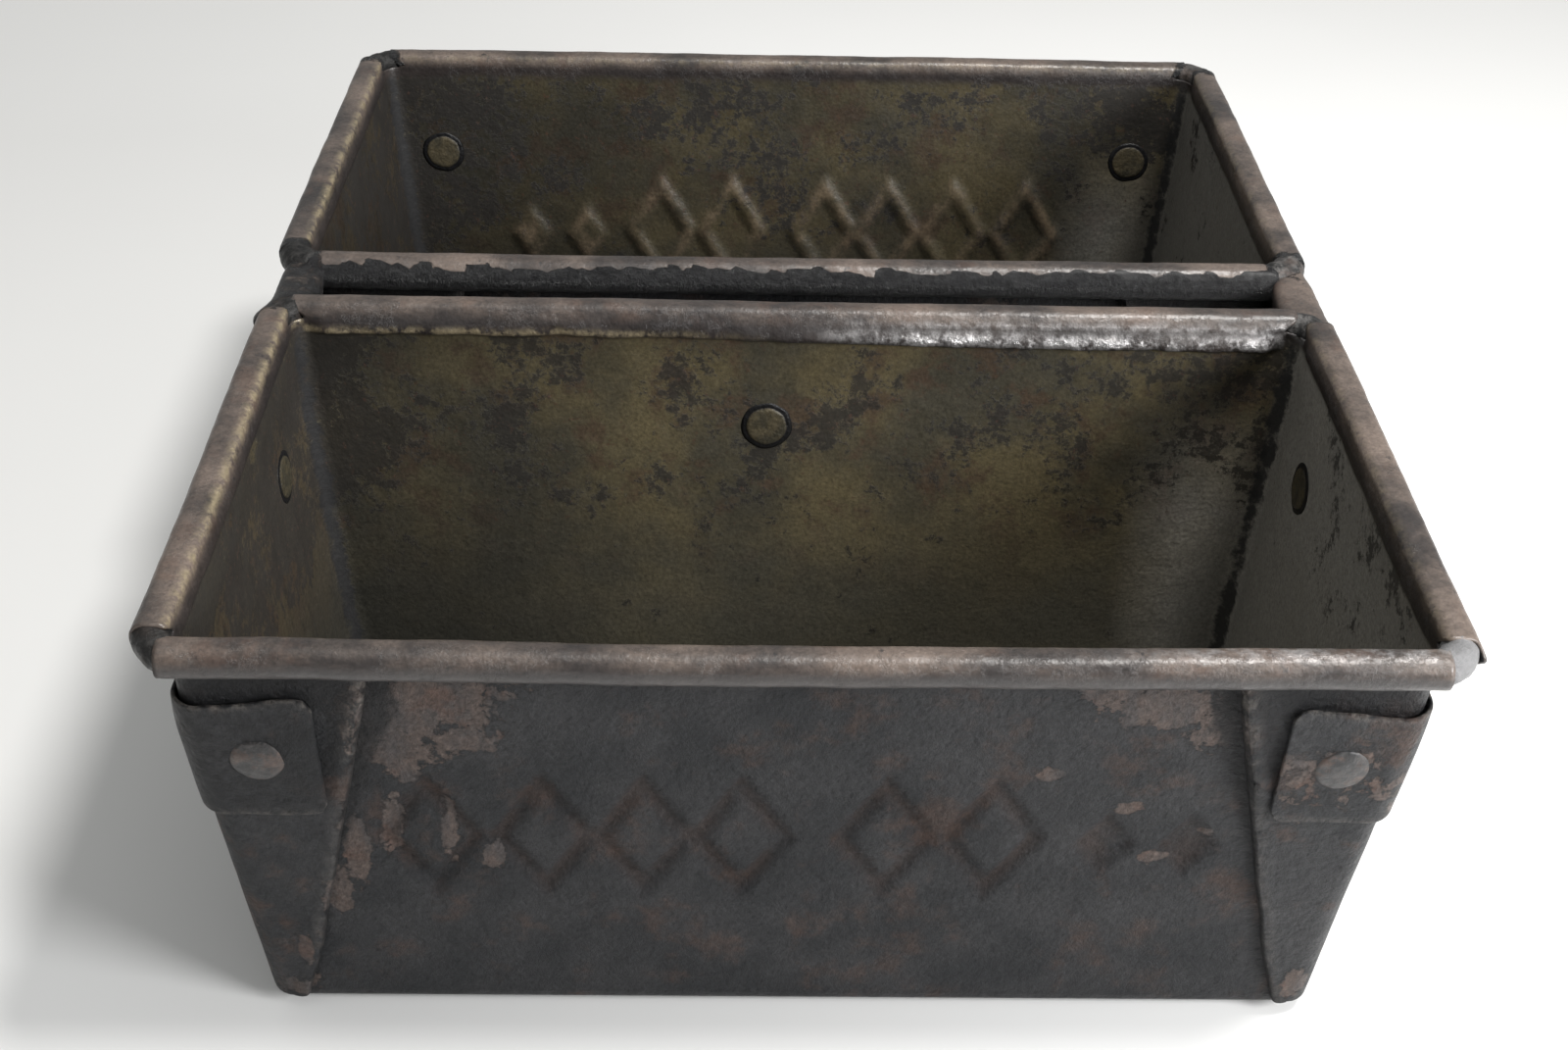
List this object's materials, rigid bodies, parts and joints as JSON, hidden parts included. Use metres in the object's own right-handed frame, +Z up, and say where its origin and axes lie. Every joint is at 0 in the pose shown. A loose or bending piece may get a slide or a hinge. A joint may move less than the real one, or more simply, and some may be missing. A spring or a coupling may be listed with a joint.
{
  "type": "strapped loaf pan set",
  "caption": "Strapped set of deep, tapered sheet-steel loaf pans with wired rims and folded corners, held side by side by riveted end bands.",
  "frame": {"origin": "on the ground, under the middle of the set", "axes": "+Z up; the pans' long sides run along X, with the left end at -X; the front pan is at -Y and the rear pan at +Y"},
  "size_m": [0.2484, 0.2794, 0.1056],
  "materials": {
    "pan_sheet": "baked-on black and brown carbon over sheet steel, mottled, matt outside and oily satin inside",
    "rim_wire": "bare round wire under thick black crust at the corners",
    "strap_steel": "flat band steel, dark and flaking, worn at the edges",
    "rivet_steel": "dark steel heads with a greasy ring round each"
  },
  "bodies": {
    "root": {"front_pan": "pan_sheet", "rear_pan": "pan_sheet", "front_rim_wire": "rim_wire", "rear_rim_wire": "rim_wire", "left_strap": "strap_steel", "right_strap": "strap_steel", "centre_tie": "strap_steel", "tab_rivet_front_left": "rivet_steel", "tab_rivet_front_right": "rivet_steel", "tab_rivet_rear_left": "rivet_steel", "tab_rivet_rear_right": "rivet_steel", "end_rivet_front_left": "rivet_steel", "end_rivet_front_right": "rivet_steel", "end_rivet_rear_left": "rivet_steel", "end_rivet_rear_right": "rivet_steel", "tie_rivet_front": "rivet_steel", "tie_rivet_rear": "rivet_steel"}
  },
  "joints": []
}
